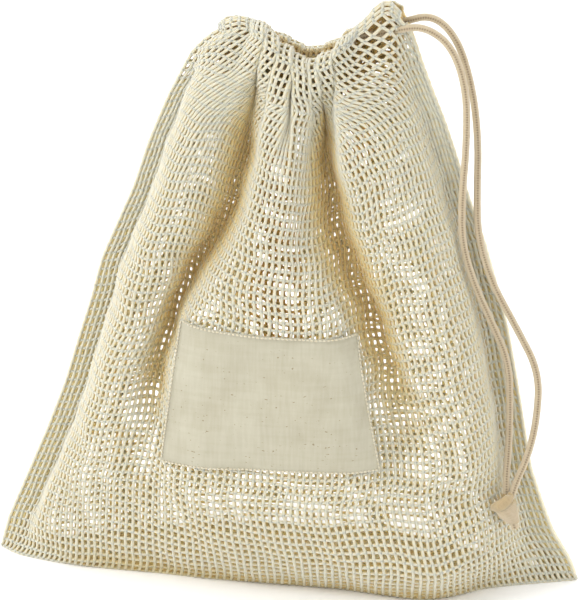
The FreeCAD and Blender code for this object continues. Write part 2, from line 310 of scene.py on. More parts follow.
bpy.ops.mesh.primitive_plane_add(size=8, location=(0, 0, 0))
floor = bpy.context.object
floor.name = "floor"
paint, shader, nodes, links = material("pale_floor", 0.9)
pale = ramp(nodes, links, noise(nodes, links, 3), [(0.3, (0.96, 0.96, 0.96)), (0.7, (0.98, 0.98, 0.98))])
links.new(pale, shader.inputs["Base Color"])
floor.data.materials.append(paint)


# ---------------------------------------------------------------- cord

# The control points of the cord's routes, in millimetres.
FRONT_STRAND = [(36, -5.3, 292.6), (56.5, -5.3, 298.3), (69.5, -5.6, 299.5), (83, -7, 290),
                (90.5, -8.5, 268), (91, -10, 240), (89.3, -11.5, 213), (89.8, -13, 190),
                (96.5, -13.5, 168), (106, -12.5, 147), (115.3, -12.5, 126), (116.5, -14.5, 101),
                (116.6, -18.5, 80), (115.8, -24.5, 66), (116.8, -27, 55)]
BACK_STRAND = [(36, 5.3, 292.6), (56.5, 5.3, 298.8), (71.5, 4.6, 303.5), (84.5, 1.5, 292.5),
               (92.8, -1.5, 268), (96.5, -4, 241), (96.5, -6, 214), (97.5, -8, 192),
               (105, -9.5, 168), (118.5, -10, 144), (131, -12, 121), (130.5, -15.5, 96),
               (126.8, -20, 78), (120.6, -25.5, 63.5), (118.6, -27.4, 55)]
# Half of the cord's way round the mouth, along the back. The other half mirrors it in Y.
CASING_HALF = [(60, 5.3, 299), (29, 5.3, 290.6), (20, 10.5, 281.5), (8, 12.5, 275),
               (-6, 12, 280), (-17, 10, 288.5), (-27, 8.5, 292), (-35, 8, 289), (-40, 4, 285.5)]
CASING_END = 0.0355  # X where the cord in the casing stops and the two strands begin, in metres
CORD_RADIUS = 0.00175
STITCH_LENGTH = 0.0013
GROOVE_WIDTH = 0.26  # in radians round the cord


def route_points(points, name):
    """The smooth line of a NURBS spline through a route's control points, in metres."""
    data = bpy.data.curves.new(name, "CURVE")
    data.dimensions = "3D"
    data.resolution_u = 16
    spline = data.splines.new("NURBS")
    spline.points.add(len(points) - 1)
    for spot, (x, y, z) in zip(spline.points, points):
        spot.co = (x * MM, y * MM, z * MM, 1)
    spline.order_u = 3
    spline.use_endpoint_u = True
    curve = bpy.data.objects.new(name, data)
    scene.collection.objects.link(curve)
    line = bpy.data.meshes.new_from_object(curve)
    made = np.array([v.co for v in line.vertices])
    bpy.data.objects.remove(curve)
    return made


def evenly(line, step):
    """The same line with points a step apart, and how far along it they are."""
    gone = np.concatenate([[0], np.cumsum(np.linalg.norm(np.diff(line, axis=0), axis=1))])
    spots = np.linspace(0, gone[-1], max(2, int(gone[-1] / step) + 1))
    return np.stack([np.interp(spots, gone, line[:, axis]) for axis in range(3)], axis=1), spots


def knitted_cord(name, line, radius, up=(0, -1, 0), flare=0.0, body="drawcord", wide=1.08, thick=0.93,
                 ribs=1.0, depth=0.0):
    """Soft knitted cord: small chevrons with a groove along its outer and its inner side.

    The radius and the painted shade (darker towards 1) are numbers or lists of them, evenly spaced along the
    line.
    Its far end can flare out, and wide and thick flatten it.
    """
    line, gone = evenly(line, 0.0003)
    along = unit(np.gradient(line, axis=0))
    out = unit(np.array(up) - along * (along @ np.array(up))[:, None])
    side = np.cross(along, out)
    sides = 28
    turn = 2 * math.pi * np.arange(sides) / sides
    stitch = 2 * math.pi * gone[:, None] / STITCH_LENGTH
    groove = sum(np.exp(-((turn - middle) / GROOVE_WIDTH) ** 2) for middle in (math.pi / 2, 3 * math.pi / 2))
    chevron = np.cos(2 * stitch + 9 * np.abs(np.cos(turn))[None]) * (1 - groove)[None]
    end = 0.004
    opened = 1 + flare * np.clip((gone - gone[-1] + end) / end, 0, 1)[:, None]
    radius = np.interp(gone / gone[-1], np.linspace(0, 1, np.size(radius)), np.atleast_1d(radius))[:, None]
    dots = (0.5 + 0.5 * np.cos(stitch)) ** 2
    size = radius * (1 - ribs * (0.12 + 0.12 * dots) * groove[None] + 0.02 * chevron) * opened
    spoke = (wide * np.cos(turn)[None, :, None] * side[:, None]
             + thick * np.sin(turn)[None, :, None] * out[:, None])
    points = line[:, None] + size[..., None] * spoke
    base = np.arange(len(line) * sides).reshape(len(line), sides)
    after = np.roll(base, -1, axis=1)
    quads = np.stack([base[:-1], after[:-1], after[1:], base[1:]], axis=-1).reshape(-1, 4)
    faces = quads.tolist() + [base[0, ::-1].tolist(), base[-1].tolist()]
    data = bpy.data.meshes.new(name)
    data.from_pydata(points.reshape(-1, 3).tolist(), [], faces)
    data.shade_smooth()
    # painted shade: the groove, the stitch holes along it and the dips between the chevrons are coloured
    # darker
    tone = ribs * (0.2 + 0.8 * dots) * groove[None] + (0.35 - 0.15 * ribs) * (0.5 - 0.5 * chevron)
    depth = np.interp(gone / gone[-1], np.linspace(0, 1, np.size(depth)), np.atleast_1d(depth))
    for label, values in (("tone", np.clip(tone, 0, 1).ravel()), ("depth", np.repeat(depth, sides))):
        layer = data.attributes.new(label, "FLOAT", "POINT")
        layer.data.foreach_set("value", values.astype(np.float32))
    data.materials.append(CORD_MATERIAL)
    made = bpy.data.objects.new(name, data)
    scene.collection.objects.link(made)
    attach(made, body)
    return made


# painted shade: higher stops are the darker colours painted into the cord's groove, stitch holes and dips
CORD_MATERIAL = yarn_material("knitted_cotton_cord", [
    (0.0, (0.56, 0.475, 0.335)), (0.4, (0.38, 0.30, 0.195)), (1.0, (0.13, 0.085, 0.045))], 0.3)

strands = {}
for name, points in (("front_cord_strand", FRONT_STRAND), ("back_cord_strand", BACK_STRAND)):
    path = route_points(points, name + "_route")
    strands[name] = (knitted_cord(name + "_knit", path, CORD_RADIUS, up=(0.25, -1, 0)), path)
    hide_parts(name)

ring = CASING_HALF + [(x, -y, z) for x, y, z in CASING_HALF[::-1]]
held = route_points(ring, "casing_route")
held = held[held[:, 0] < CASING_END]
casing_cord = knitted_cord("cord_in_casing", held, 0.00165, up=(0, 0, 1), body="bag")
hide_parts("drawcord_in_casing")


def knot_mesh():
    """Overhand knot: a flat wrap at its upper left, the cords fanned out below it, and its core."""
    middle = np.array((117.0, -27.5, 53.3))
    wrap = [(-4.6, 1.0, -3.4), (-6.4, -2.2, -1.6), (-4.2, -5.4, 0.6), (-0.6, -5.8, 3.4), (1.8, -3.6, 5.4),
            (1.0, 0.0, 5.4)]
    fan = [(-2.4, 0.0, 2.6), (-0.8, -3.2, 0.6), (1.2, -4.4, -2.4), (3.2, -4.2, -6.0), (4.6, -3.0, -9.0)]
    core = [(0.4, 1.0, 5.5), (0.2, 0.6, 2), (0, 0, -2), (1.4, -0.6, -5.5)]
    made = []
    # painted shade: the wrap is darker, the core darker still, and the fan darkest where it starts under the
    # wrap
    for name, points, radius, wide, thick, depth in (
            ("wrap", wrap, (0.0020, 0.0027, 0.0030, 0.0026, 0.0018), 1.05, 0.62, 0.3),
            ("fan", fan, (0.0040, 0.0060, 0.0056, 0.0040, 0.0026), 1.0, 0.42,
             (1, 1, 0.6, 0, 0, 0, 0, 0.1, 0.3)),
            ("core", core, (0.0024, 0.0032, 0.0024), 1.15, 0.9, 0.6)):
        line = route_points([tuple(middle + p) for p in points], name)
        made.append(knitted_cord("cord_knot_" + name, line, radius, wide=wide, thick=thick, ribs=0.15,
                                 depth=depth))
    with bpy.context.temp_override(active_object=made[0], object=made[0],
                                   selected_objects=made, selected_editable_objects=made):
        bpy.ops.object.join()
    made[0].name = "cord_knot_tied"
    return made[0]


knot = knot_mesh()
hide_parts("cord_knot")
TAILS = {"front_cord_tail": [(118.6, -29.4, 51), (120.2, -30.2, 46.5), (121.9, -30.4, 41.6)],
         "back_cord_tail": [(116.2, -26.6, 51), (117.0, -26.6, 46.6), (117.4, -26.6, 44.0)]}
for name, points in TAILS.items():
    knitted_cord(name + "_end", route_points(points, name + "_route"), 0.00185, flare=0.12)
    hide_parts(name)

for name, tail in (("front_cord_strand", "front_cord_tail"), ("back_cord_strand", "back_cord_tail")):
    piece, path = strands[name]


# ---------------------------------------------------------------- net surface

# Cross-sections of the net from its left to its right edge, as X and Y in millimetres, from
# the floor (share of height 0) to the mouth (1): edge, end of the flat seam, side wall,
# crest, shoulder, left valley, three crests, right valley, shoulder, crest, wall, seam, edge.
FRONT_SECTIONS = {
    0.0: [(-157, 0), (-146, -9), (-136, -13), (-116, -18), (-96, -20.5), (-70, -22), (-45, -25),
          (0, -27), (30, -28.5), (55, -33), (76, -35), (90, -29), (104, -19), (130, -8), (153, 0)],
    0.03: [(-155, 0), (-144, -6), (-135, -13), (-114, -20), (-94, -23), (-70, -26), (-45, -30),
           (0, -34), (30, -36), (55, -40), (76, -41), (92, -34), (110, -20), (132, -6), (150, 0)],
    0.08: [(-152, 0), (-141, -2), (-134, -14), (-112, -23), (-92, -28), (-70, -32), (-45, -37),
           (0, -44), (30, -48), (60, -50), (80, -49), (98, -39), (119, -23), (136, -2), (147, 0)],
    0.25: [(-127, 0), (-116, -1), (-112, -17), (-101, -31), (-87, -35), (-70, -33), (-50, -47),
           (0, -55), (40, -53), (66, -44), (80, -42), (96, -41), (109, -24), (114, -2), (125, 0)],
    0.5: [(-104, 0), (-94, -1), (-90, -18), (-79, -33), (-67, -30), (-58, -13), (-45, -41),
          (-4, -47), (30, -43), (48, -16), (62, -32), (78, -34), (92, -20), (97, -1.5), (108, 0)],
    0.7: [(-84, 0), (-74, -1), (-71, -15), (-60, -27), (-44, -25), (-29, -6), (-14, -32),
          (0, -34), (12, -24), (26, -6), (41, -25), (60, -27), (77, -15), (83, -1.5), (93, 0)],
    0.85: [(-69, 0), (-60, -1), (-57, -10), (-46, -19), (-32, -16), (-19, -5), (-9, -21),
           (2, -23), (12, -15), (21, 0), (32, -19), (48, -20), (64, -12), (71, -1.5), (81, 0)],
    0.94: [(-53, 0), (-49, -2), (-44, -9), (-35, -15), (-24, -15), (-13, -10), (-4, -17),
           (4, -19), (13, -15), (20, -4), (29, -15), (43, -14), (54, -10), (60, -3.5), (65, -1)],
    1.0: [(-42, 0), (-41, -3), (-36, -6.5), (-27, -8.5), (-17, -10), (-8, -12), (0, -12.5),
          (7, -12.5), (14, -12), (22, -9.5), (30, -6.5), (40, -5.5), (49, -5.3), (54, -5.3),
          (57, -5.3)],
}
BACK_SECTIONS = {
    0.0: [(-157, 0), (-145, 5), (-134, 9), (-112, 20), (-92, 30), (-70, 38), (-45, 45),
          (0, 50), (30, 49), (60, 43), (82, 35), (104, 25), (126, 14), (141, 7), (153, 0)],
    0.08: [(-152, 0), (-141, 2), (-133, 11), (-112, 24), (-92, 33), (-70, 41), (-45, 48),
           (0, 52), (30, 51), (60, 46), (82, 39), (104, 30), (123, 16), (136, 2), (148, 0)],
    0.25: [(-127, 0), (-116, 1), (-110, 16), (-97, 30), (-80, 40), (-60, 46), (-35, 42),
           (0, 36), (30, 42), (60, 46), (78, 40), (95, 30), (108, 16), (114, 2), (125, 0)],
    0.5: [(-104, 0), (-94, 1), (-89, 16), (-77, 30), (-62, 37), (-45, 34), (-25, 18),
          (0, 12), (20, 28), (44, 38), (62, 36), (78, 27), (92, 14), (97, 1.5), (108, 0)],
    0.7: [(-84, 0), (-74, 1), (-70, 14), (-58, 26), (-44, 28), (-30, 19), (-14, 6),
          (0, 9), (14, 26), (30, 28), (46, 14), (60, 22), (77, 15), (83, 1.5), (93, 0)],
    0.85: [(-69, 0), (-60, 1), (-56, 9), (-45, 18), (-32, 19), (-20, 8), (-9, 5),
           (2, 19), (14, 21), (24, 7), (36, 10), (50, 19), (64, 12), (71, 1.5), (81, 0)],
    0.94: [(-53, 0), (-49, 2), (-44, 8), (-35, 13), (-24, 14), (-13, 10), (-4, 12),
           (4, 17), (12, 16), (20, 9), (30, 10), (43, 12), (54, 8), (60, 3.5), (65, 1)],
    1.0: [(x, -y) for x, y in FRONT_SECTIONS[1.0]],
}
# The bag's two side edges, as X and Z.
LEFT_EDGE = [(-157, 0), (-152, 18), (-140, 46), (-129, 72), (-119, 98), (-111, 124), (-103, 149),
             (-98, 168), (-91, 184), (-80, 209), (-72, 233), (-62, 257), (-50, 280), (-44, 286.5),
             (-38, 291.5), (-35, 293)]
RIGHT_EDGE = [(153, 0), (149, 11), (139, 28), (133, 44), (127, 62), (122, 90), (118, 113), (113, 139),
              (107, 162), (100, 186), (92, 208), (84.5, 232), (79, 248), (71, 268), (66.5, 280),
              (63.5, 289), (61, 296), (58.5, 300), (56, 303.4)]
# The rim, as X and Z, on the front (-1) and on the back (1).
RIM = {
    -1: [(-35, 297.5), (-30, 300), (-26, 301.5), (-22, 302), (-17, 301), (-12, 298.5), (-7.5, 295),
         (-4, 290.5), (4, 285.5), (10, 280.5), (16, 282.5), (24, 287), (30, 292.5), (35, 299),
         (41, 304), (44.5, 308.5), (49, 312), (53, 311), (56, 308)],
    1: [(-35, 297.5), (-30, 298), (-26, 297.5), (-22, 296.5), (-17, 293.5), (-12, 289.5), (-8, 287),
        (-2, 284.5), (0.5, 282.5), (6, 280), (12, 280.5), (17.5, 282.5), (24, 286.5), (30, 292),
        (35, 297), (41, 302), (45, 306), (49, 309), (53, 309.5), (56, 308)],
}
RIM_LOW = 278  # a height just under the rim's dip, from which the rest of the rim rises
RIM_MIDDLE = 7.5  # X of that dip
CORD_DROP = 4.6  # how far the cord's middle lies below the rim
FLOOR_GAP = 0.8  # height of the lowest yarns
COLUMNS, ROWS = 92, 71  # cells of a panel, from seam to seam and from the floor to the rim
ROLL, HEM = 3, 6  # rows that turn over the cord, and rows of the hem inside
TURNED = ROWS - ROLL  # the row at which the net starts to turn over
LOBES = 12.0  # gathers from seam to seam

# Places across a panel, finer than its cells, their distance from the nearer seam, and the
# height of each row, all as shares.
ACROSS = np.linspace(0, 1, 12 * COLUMNS + 1)
FROM_SEAM = np.minimum(ACROSS, 1 - ACROSS)
UPWARD = np.arange(ROWS + 1) / ROWS


def along_levels(levels, values, share):
    """Smooth values between levels, as a cubic through them."""
    levels, values = np.asarray(levels, float), np.asarray(values, float)
    slope = np.gradient(values, levels, axis=0)
    spot = np.clip(np.searchsorted(levels, share, side="right") - 1, 0, len(levels) - 2)
    width = (levels[spot + 1] - levels[spot])[:, None, None]
    t = ((share - levels[spot])[:, None, None]) / width
    return ((2 * t ** 3 - 3 * t ** 2 + 1) * values[spot] + (t ** 3 - 2 * t ** 2 + t) * width * slope[spot]
            + (3 * t ** 2 - 2 * t ** 3) * values[spot + 1] + (t ** 3 - t ** 2) * width * slope[spot + 1])


def through(corners, count):
    """Points evenly spaced along a smooth plane curve through corners."""
    corners = np.asarray(corners, float)
    knots = np.concatenate([[0], np.cumsum(np.linalg.norm(np.diff(corners, axis=0), axis=1))])
    fine = np.linspace(0, knots[-1], 8 * count)
    values = along_levels(knots, corners[:, None], fine)[:, 0]
    gone = np.concatenate([[0], np.cumsum(np.linalg.norm(np.diff(values, axis=0), axis=1))])
    spots = np.linspace(0, gone[-1], count)
    return np.stack([np.interp(spots, gone, values[:, axis]) for axis in (0, 1)], axis=1)


def smooth_step(low, high, value):
    """From 0 below low to 1 above high."""
    t = np.clip((value - low) / (high - low), 0, 1)
    return t * t * (3 - 2 * t)


def level_rows(grid):
    """X, Y and Z of a grid, with its rows below the turn almost evenly spaced up each column."""
    below = grid[:TURNED + 1]
    steps = np.linalg.norm(np.diff(below, axis=0), axis=-1)
    gone = np.concatenate([np.zeros((1, grid.shape[1])), np.cumsum(steps, axis=0)])
    even = gone[-1] * np.linspace(0, 1, TURNED + 1)[:, None]
    spots = 0.85 * even + 0.15 * gone
    made = grid.copy()
    for column in range(grid.shape[1]):
        wanted, known = spots[:, column], gone[:, column]
        for axis in range(3):
            made[:TURNED + 1, column, axis] = np.interp(wanted, known, below[:, column, axis])
    return made.transpose(2, 0, 1)


def standing_sheet(sections, side):
    """X, Y and Z of a panel's rows, through its sections and inside the bag's outline."""
    levels = sorted(sections)
    corners = along_levels(levels, [sections[level] for level in levels], UPWARD)
    flat = np.stack([through(row, len(ACROSS)) for row in corners])
    x, y = flat[..., 0], flat[..., 1]
    rim = np.array(RIM[side])
    place = np.interp(x[-1], [x[-1, 0], RIM_MIDDLE, x[-1, -1]], [rim[0, 0], RIM_MIDDLE, rim[-1, 0]])
    top = np.interp(place, rim[:, 0], rim[:, 1]) - CORD_DROP
    up = np.minimum(np.arange(ROWS + 1) / TURNED, 1)[:, None]
    z = (FLOOR_GAP + up ** 1.1 * (RIM_LOW - CORD_DROP - FLOOR_GAP)
         + (top - RIM_LOW + CORD_DROP)[None] * up ** 0.8)
    left = np.interp(z[:, 0], *zip(*[(height, edge) for edge, height in LEFT_EDGE]))
    right = np.interp(z[:, -1], *zip(*[(height, edge) for edge, height in RIGHT_EDGE]))
    middle = (x[:, :1] + x[:, -1:]) / 2
    span = np.where(x < middle, (left[:, None] - middle) / (x[:, :1] - middle),
                    (right[:, None] - middle) / (x[:, -1:] - middle))
    return middle + (x - middle) * span, y, z


def swell(x, z, place, size):
    """1 at a place on the sheet, falling off to 0 over a size."""
    return np.exp(-((x - place[0]) / size[0]) ** 2 - ((z - place[1]) / size[1]) ** 2)


def handled(x, y, z, side):
    """The sheet with the slow waves of handled cloth, and the front's slump low on the right."""
    wave = (0.9 * np.sin(0.061 * x + 0.043 * z + side) + 0.7 * np.sin(0.11 * z - 0.05 * x)
            + 0.5 * np.sin(0.19 * x + 0.13 * z))
    calm = np.minimum(1, FROM_SEAM / 0.12)[None] * (1 - smooth_step(0.85, 0.95, UPWARD))[:, None]
    y = y + wave * calm * (UPWARD[:, None] > 0)
    x[:, 1:-1] += 0.4 * np.sin(0.23 * z[:, 1:-1] + 0.09 * x[:, 1:-1])
    if side < 0:
        y = y - 4.5 * swell(x, z, (88, 28), (16, 12)) + 3.5 * swell(x, z, (92, 58), (14, 11))
        z = z - 9 * swell(x, z, (88, 40), (14, 17)) + 3.5 * swell(x, z, (64, 56), (11, 14))
    return x, y, z


def gathers(x, y, side):
    """The sheet drawn into narrow lobes round the cord, which fade out below the mouth.

    Gives X and Y, how much the cells crowd, and along the mouth: the cord's Y, how far the net
    reaches out past it and rises over it, and the lobes.
    """
    middle = smooth_step(0.2, 0.3, ACROSS) * smooth_step(0.2, 0.28, 1 - ACROSS)
    wander = 0.2 * np.sin(11.3 * ACROSS + 1.0) + 0.12 * np.sin(23 * ACROSS + side)
    phase = 2 * math.pi * (LOBES * ACROSS + wander)
    lobe = (0.5 + 0.5 * np.tanh(3.2 * np.cos(phase) + 1.8)) * middle
    fade = smooth_step(0.72, 0.97, UPWARD)[:, None] ** 1.4
    cord = y[-1]
    ends = 0.35 + 0.65 * smooth_step(0, 0.07, FROM_SEAM)
    reach = (2.8 + 9.5 * lobe + 1.7 * (1 - middle)) * ends
    height = (2.9 + 2.4 * lobe + 1.7 * (1 - middle)) * (0.5 + 0.5 * ends)
    # just below the turn the net is held against the cord, later so towards the right seam
    hold = smooth_step(TURNED / ROWS - 0.09, TURNED / ROWS, UPWARD)[:, None]
    hold = hold ** (1 + 7 * smooth_step(0.88, 1.0, ACROSS))[None]
    loose = y + side * 10 * (lobe - 0.45 * middle)[None] * fade
    y = loose * (1 - hold) + (cord + side * reach)[None] * hold
    # the two panels never meet
    y[1:] = side * np.maximum(side * y[1:], 1.1)
    x = x + 1.5 * middle[None] * np.sin(phase)[None] * fade
    crowd = 1 + (1.6 * middle * (1 - lobe) - 0.3 * (1 - middle))[None] * fade
    crowd = crowd + 0.3 * (1 - smooth_step(0.05, 0.3, FROM_SEAM))[None] * (1 - fade)
    return x, y, crowd, (cord, reach, height, lobe)


def crossings(x, y, crowd):
    """For each row, the places across it of its crossings: even along it, closer where they crowd."""
    spots = []
    for row in range(TURNED + 1):
        steps = np.hypot(np.diff(x[row]), np.diff(y[row])) * crowd[row, 1:]
        gone = np.concatenate([[0], np.cumsum(steps)])
        spots.append(np.interp(np.linspace(0, gone[-1], COLUMNS + 1), gone, ACROSS))
    return spots + [spots[-1]] * ROLL


def turn_over(x, y, z, side, cord, reach, height, lobe):
    """The rows with the top ones turned over the cord, and the rows of the hem inside added."""
    turn = np.clip((np.arange(ROWS + 1) - TURNED) / ROLL, 0, 1)[:, None] * math.pi / 2
    y = y - side * reach[None] * (1 - np.cos(turn))
    z = z + height[None] * np.sin(turn)
    inside = np.minimum(2.4 + 4.5 * lobe, np.abs(cord) - 0.4)
    hem_row = 3.6
    hem = []
    for step in range(1, ROLL + HEM + 1):
        angle = min(step / ROLL, 1) * math.pi / 2
        drop = height * np.cos(angle) - hem_row * max(0, step - ROLL)
        hem.append(np.stack([x[-1], cord - side * inside * math.sin(angle), z[TURNED] + drop], -1))
    return np.concatenate([np.stack([x, y, z], -1), hem])


def panel_grid(sections, side):
    """Crossings of one panel's net with its hem: (rows, columns, 3) in metres."""
    x, y, z = handled(*standing_sheet(sections, side), side)
    x, y, crowd, mouth = gathers(x, y, side)
    spots = crossings(x, y, crowd)
    sheet = [np.stack([np.interp(spot, ACROSS, values[row]) for row, spot in enumerate(spots)])
             for values in (x, y, z)]
    mouth = [np.interp(spots[-1], ACROSS, values) for values in mouth]
    return turn_over(*level_rows(np.stack(sheet, -1)), side, *mouth) * MM


def outward(grid, side):
    """Normals of a grid that point out of the bag."""
    normal = unit(np.cross(np.gradient(grid, axis=1), np.gradient(grid, axis=0)))
    facing = np.sign((normal[..., 1] * side).mean())
    return normal * facing


def jitter(grid, amount, seed):
    """The grid with small unevenness inside it."""
    random = np.random.default_rng(seed)
    moved = grid.copy()
    moved[1:-1, 1:-1] += random.normal(0, amount, grid[1:-1, 1:-1].shape)
    return moved


def fold_depth(grid, side):
    """0 on the crests and 1 in the deep valleys, where the cloth rises on both sides."""
    y = grid[..., 1] * side
    reach, deep = 16, 0.02
    padded = np.pad(y, ((0, 0), (reach, reach)), mode="edge")
    width = y.shape[1]
    before = np.max([padded[:, k:k + width] for k in range(reach + 1)], axis=0)
    after = np.max([padded[:, reach + k:reach + k + width] for k in range(reach + 1)], axis=0)
    return np.clip((np.minimum(before, after) - y) / deep, 0, 1) ** 1.4


def net_shades(grid, side):
    """The painted light and shade of a panel's crossings, golden and browner in the folds' valleys."""
    from_seam = np.minimum(np.arange(COLUMNS + 1), COLUMNS - np.arange(COLUMNS + 1))
    # painted shade: the valleys between the folds' crests are coloured golden and browner, the crests and
    # the seams not
    depth = fold_depth(grid, side) * smooth_step(4, 9, from_seam)
    tone = 0.02 + 0.3 * depth
    # painted shade: the hem inside is dark, and so are the back's upper part and the front's lowest rows
    tone[ROWS + 1:] = 0.1
    depth[ROWS + 1:] = 1
    height = np.arange(ROWS)[:, None] / ROWS
    if side > 0:
        depth[:ROWS] += 0.25 * smooth_step(0.72, 0.9, height)
    else:
        depth[:ROWS] += 0.45 * (1 - smooth_step(0.01, 0.05, height)) * smooth_step(8, 26, from_seam)
    return tone, depth


def net_panel(label, sections, side):
    """One panel as the lower and the upper net and the hem, with the grid they follow."""
    grid = jitter(panel_grid(sections, side), 0.00014, 5 + side)
    out = outward(grid, side)
    tone, depth = net_shades(grid, side)
    half = ROWS // 2
    pieces = []
    for name, part in (("_net_lower", slice(0, half + 1)), ("_net_upper", slice(half, ROWS + 1)),
                       ("_hem_net", slice(ROWS, None))):
        yarns = Tubes()
        # painted light and shade: each yarn's side facing into the bag is coloured a richer gold
        add_net(yarns, grid[part], out[part], tone[part], 0.6, depth[part], first_row=int(part.start > 0))
        pieces.append(yarns.mesh(label + name, NET))
    low, high, hem = pieces
    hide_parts(label + "_net_panel")
    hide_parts(label + "_casing_hem")
    return {"grid": grid, "out": out, "pieces": (low, high, hem)}


panels = {"front": net_panel("front", FRONT_SECTIONS, -1), "back": net_panel("back", BACK_SECTIONS, 1)}


def grid_quads(grid):
    """The faces of a sheet whose points are a grid (rows, columns, 3)."""
    rows, columns = grid.shape[:2]
    index = np.arange(rows * columns).reshape(rows, columns)
    return np.stack([index[:-1, :-1], index[:-1, 1:], index[1:, 1:], index[1:, :-1]], -1).reshape(-1, 4)


# ---------------------------------------------------------------- label patch

PATCH_COLUMNS, PATCH_ROWS = 141, 97  # points across the patch and up it
PATCH_SIZE = (108, 76)  # in millimetres
STITCH_INSET = 1  # points from the patch's edge to its stitches


def patch_grid():
    """The patch's surface, laid on the front panel a little proud of its yarns."""
    front = panels["front"]["grid"]
    tree = BVHTree.FromPolygons([Vector(p) for p in front.reshape(-1, 3)], grid_quads(front).tolist())
    a, b = np.meshgrid(np.linspace(0, 1, PATCH_COLUMNS), np.linspace(0, 1, PATCH_ROWS))
    left, right = -60.8 + 10 * b, 54.2 - 14.8 * b
    x = left + (right - left) * a
    z = (75.3 + 2.8 * a) * (1 - b) + (150.4 - 5.3 * a) * b - 1.6 * a * (1 - a) * b ** 2
    y = np.array([tree.ray_cast(Vector((px * MM, -0.2, pz * MM)), Vector((0, 1, 0)))[0].y
                  for px, pz in zip(x.ravel(), z.ravel())]).reshape(x.shape) / MM
    # the stiffer cloth spans the net's dips: first the foremost of its neighbours, then smoothed
    for _ in range(4):
        still = np.pad(y, 1, mode="edge")
        y = np.minimum.reduce([y, still[:-2, 1:-1], still[2:, 1:-1], still[1:-1, :-2], still[1:-1, 2:]])
    for _ in range(30):
        still = np.pad(y, 1, mode="edge")
        y = (still[:-2, 1:-1] + still[2:, 1:-1] + still[1:-1, :-2] + still[1:-1, 2:]) / 4
    wide, high = PATCH_SIZE
    inset = np.minimum.reduce([a * wide, (1 - a) * wide, b * high, (1 - b) * high])
    puff = 0.25 * np.exp(-((inset - 1.2) / 0.9) ** 2) - 0.3 * np.exp(-((inset - 2.6) / 0.35) ** 2)
    crease = 0.5 * np.exp(-((z - 141.5 + 0.25 * (x + 3)) / 1.1) ** 2 - ((x - 1) / 6) ** 2)
    slack = 0.3 * np.sin(0.12 * x + 0.5) * np.sin(0.17 * z) + 0.15 * np.sin(0.31 * z + 0.1 * x)
    proud = 1.5
    y = y - proud - puff - crease - slack
    return np.stack([x, y, z], axis=-1) * MM


def cloth_piece(name, grid, thickness, paint):
    """A thin woven sheet on a grid of points."""
    rows, columns = grid.shape[:2]
    quads = grid_quads(grid)
    data = bpy.data.meshes.new(name)
    data.from_pydata(grid.reshape(-1, 3).tolist(), [], quads.tolist())
    data.shade_smooth()
    layer = data.uv_layers.new(name="OFBake")
    u, v = np.meshgrid(np.linspace(0.02, 0.98, columns), np.linspace(0.02, 0.98, rows))
    spots = np.stack([u, v], -1).reshape(-1, 2)[quads.ravel()]
    layer.data.foreach_set("uv", spots.ravel().astype(np.float32))
    data.materials.append(paint)
    made = bpy.data.objects.new(name, data)
    scene.collection.objects.link(made)
    solid = made.modifiers.new("thickness", "SOLIDIFY")
    solid.thickness = thickness
    solid.offset = -1
    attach(made, "bag")
    return made


def calico_material():
    """Unbleached plain weave with slubs and small brown flecks."""
    made, shader, nodes, links = material("unbleached_calico", 0.9, 0.25)
    base = ramp(nodes, links, noise(nodes, links, 60, 4),
                [(0.3, (0.44, 0.41, 0.31)), (0.7, (0.50, 0.475, 0.37))])
    slub = noise(nodes, links, 1, 3, (30, 30, 420))
    warp = noise(nodes, links, 1, 2, (700, 300, 60))
    fleck = noise(nodes, links, 1, 1, (520, 520, 900))
    for source, share, stops in ((slub, 0.3, [(0.35, (0.86, 0.84, 0.78)), (0.6, (1, 1, 1))]),
                                 (warp, 0.35, [(0.35, (0.84, 0.82, 0.76)), (0.65, (1, 1, 1))]),
                                 (fleck, 0.8, [(0.235, (0.45, 0.34, 0.2)), (0.275, (1, 1, 1))])):
        base = multiply(nodes, links, share, base, ramp(nodes, links, source, stops))
    links.new(base, shader.inputs["Base Color"])
    place = nodes.new("ShaderNodeUVMap")
    place.uv_map = "OFBake"
    parts = nodes.new("ShaderNodeSeparateXYZ")
    links.new(place.outputs["UV"], parts.inputs["Vector"])
    across = maths(nodes, links, "SINE", maths(nodes, links, "MULTIPLY", parts.outputs["X"], 1100))
    upward = maths(nodes, links, "SINE", maths(nodes, links, "MULTIPLY", parts.outputs["Y"], 800))
    weave = maths(nodes, links, "MULTIPLY", across, upward)
    height = maths(nodes, links, "ADD", maths(nodes, links, "MULTIPLY", weave, 0.25), slub)
    bump(nodes, links, shader, height, 0.5, 0.0004)
    return made


def stitch_row(tubes, line, out, pitch, length, radius):
    """Short plump stitches along a line, one each pitch, arched away from the cloth."""
    gone = np.concatenate([[0], np.cumsum(np.linalg.norm(np.diff(line, axis=0), axis=1))])
    middles = np.arange(0.5 * pitch, gone[-1] - 0.3 * pitch, pitch)
    offsets = np.linspace(-0.5, 0.5, 5) * length
    spots = middles[:, None] + offsets[None]
    points = np.stack([np.interp(spots, gone, line[:, axis]) for axis in range(3)], axis=-1)
    up = np.stack([np.interp(spots, gone, out[:, axis]) for axis in range(3)], axis=-1)
    arch = np.array([0, 0.8, 1, 0.8, 0]) * radius
    points = points + up * arch[None, :, None]
    # painted shade: each stitch is darker on the side towards the cloth
    tubes.add(points, up, np.array([0.35, 0.9, 1, 0.9, 0.35]) * radius, 6, 0.1, 0.3)


def patch_border():
    """Rows and columns of the patch's points under its stitches, one run for each edge."""
    first = STITCH_INSET
    right, top = PATCH_COLUMNS - 1 - STITCH_INSET, PATCH_ROWS - 1 - STITCH_INSET
    return ([(first, column) for column in range(first, right + 1)],
            [(row, right) for row in range(first, top + 1)],
            [(top, column) for column in range(right, first, -1)],
            [(row, first) for row in range(top, first, -1)])


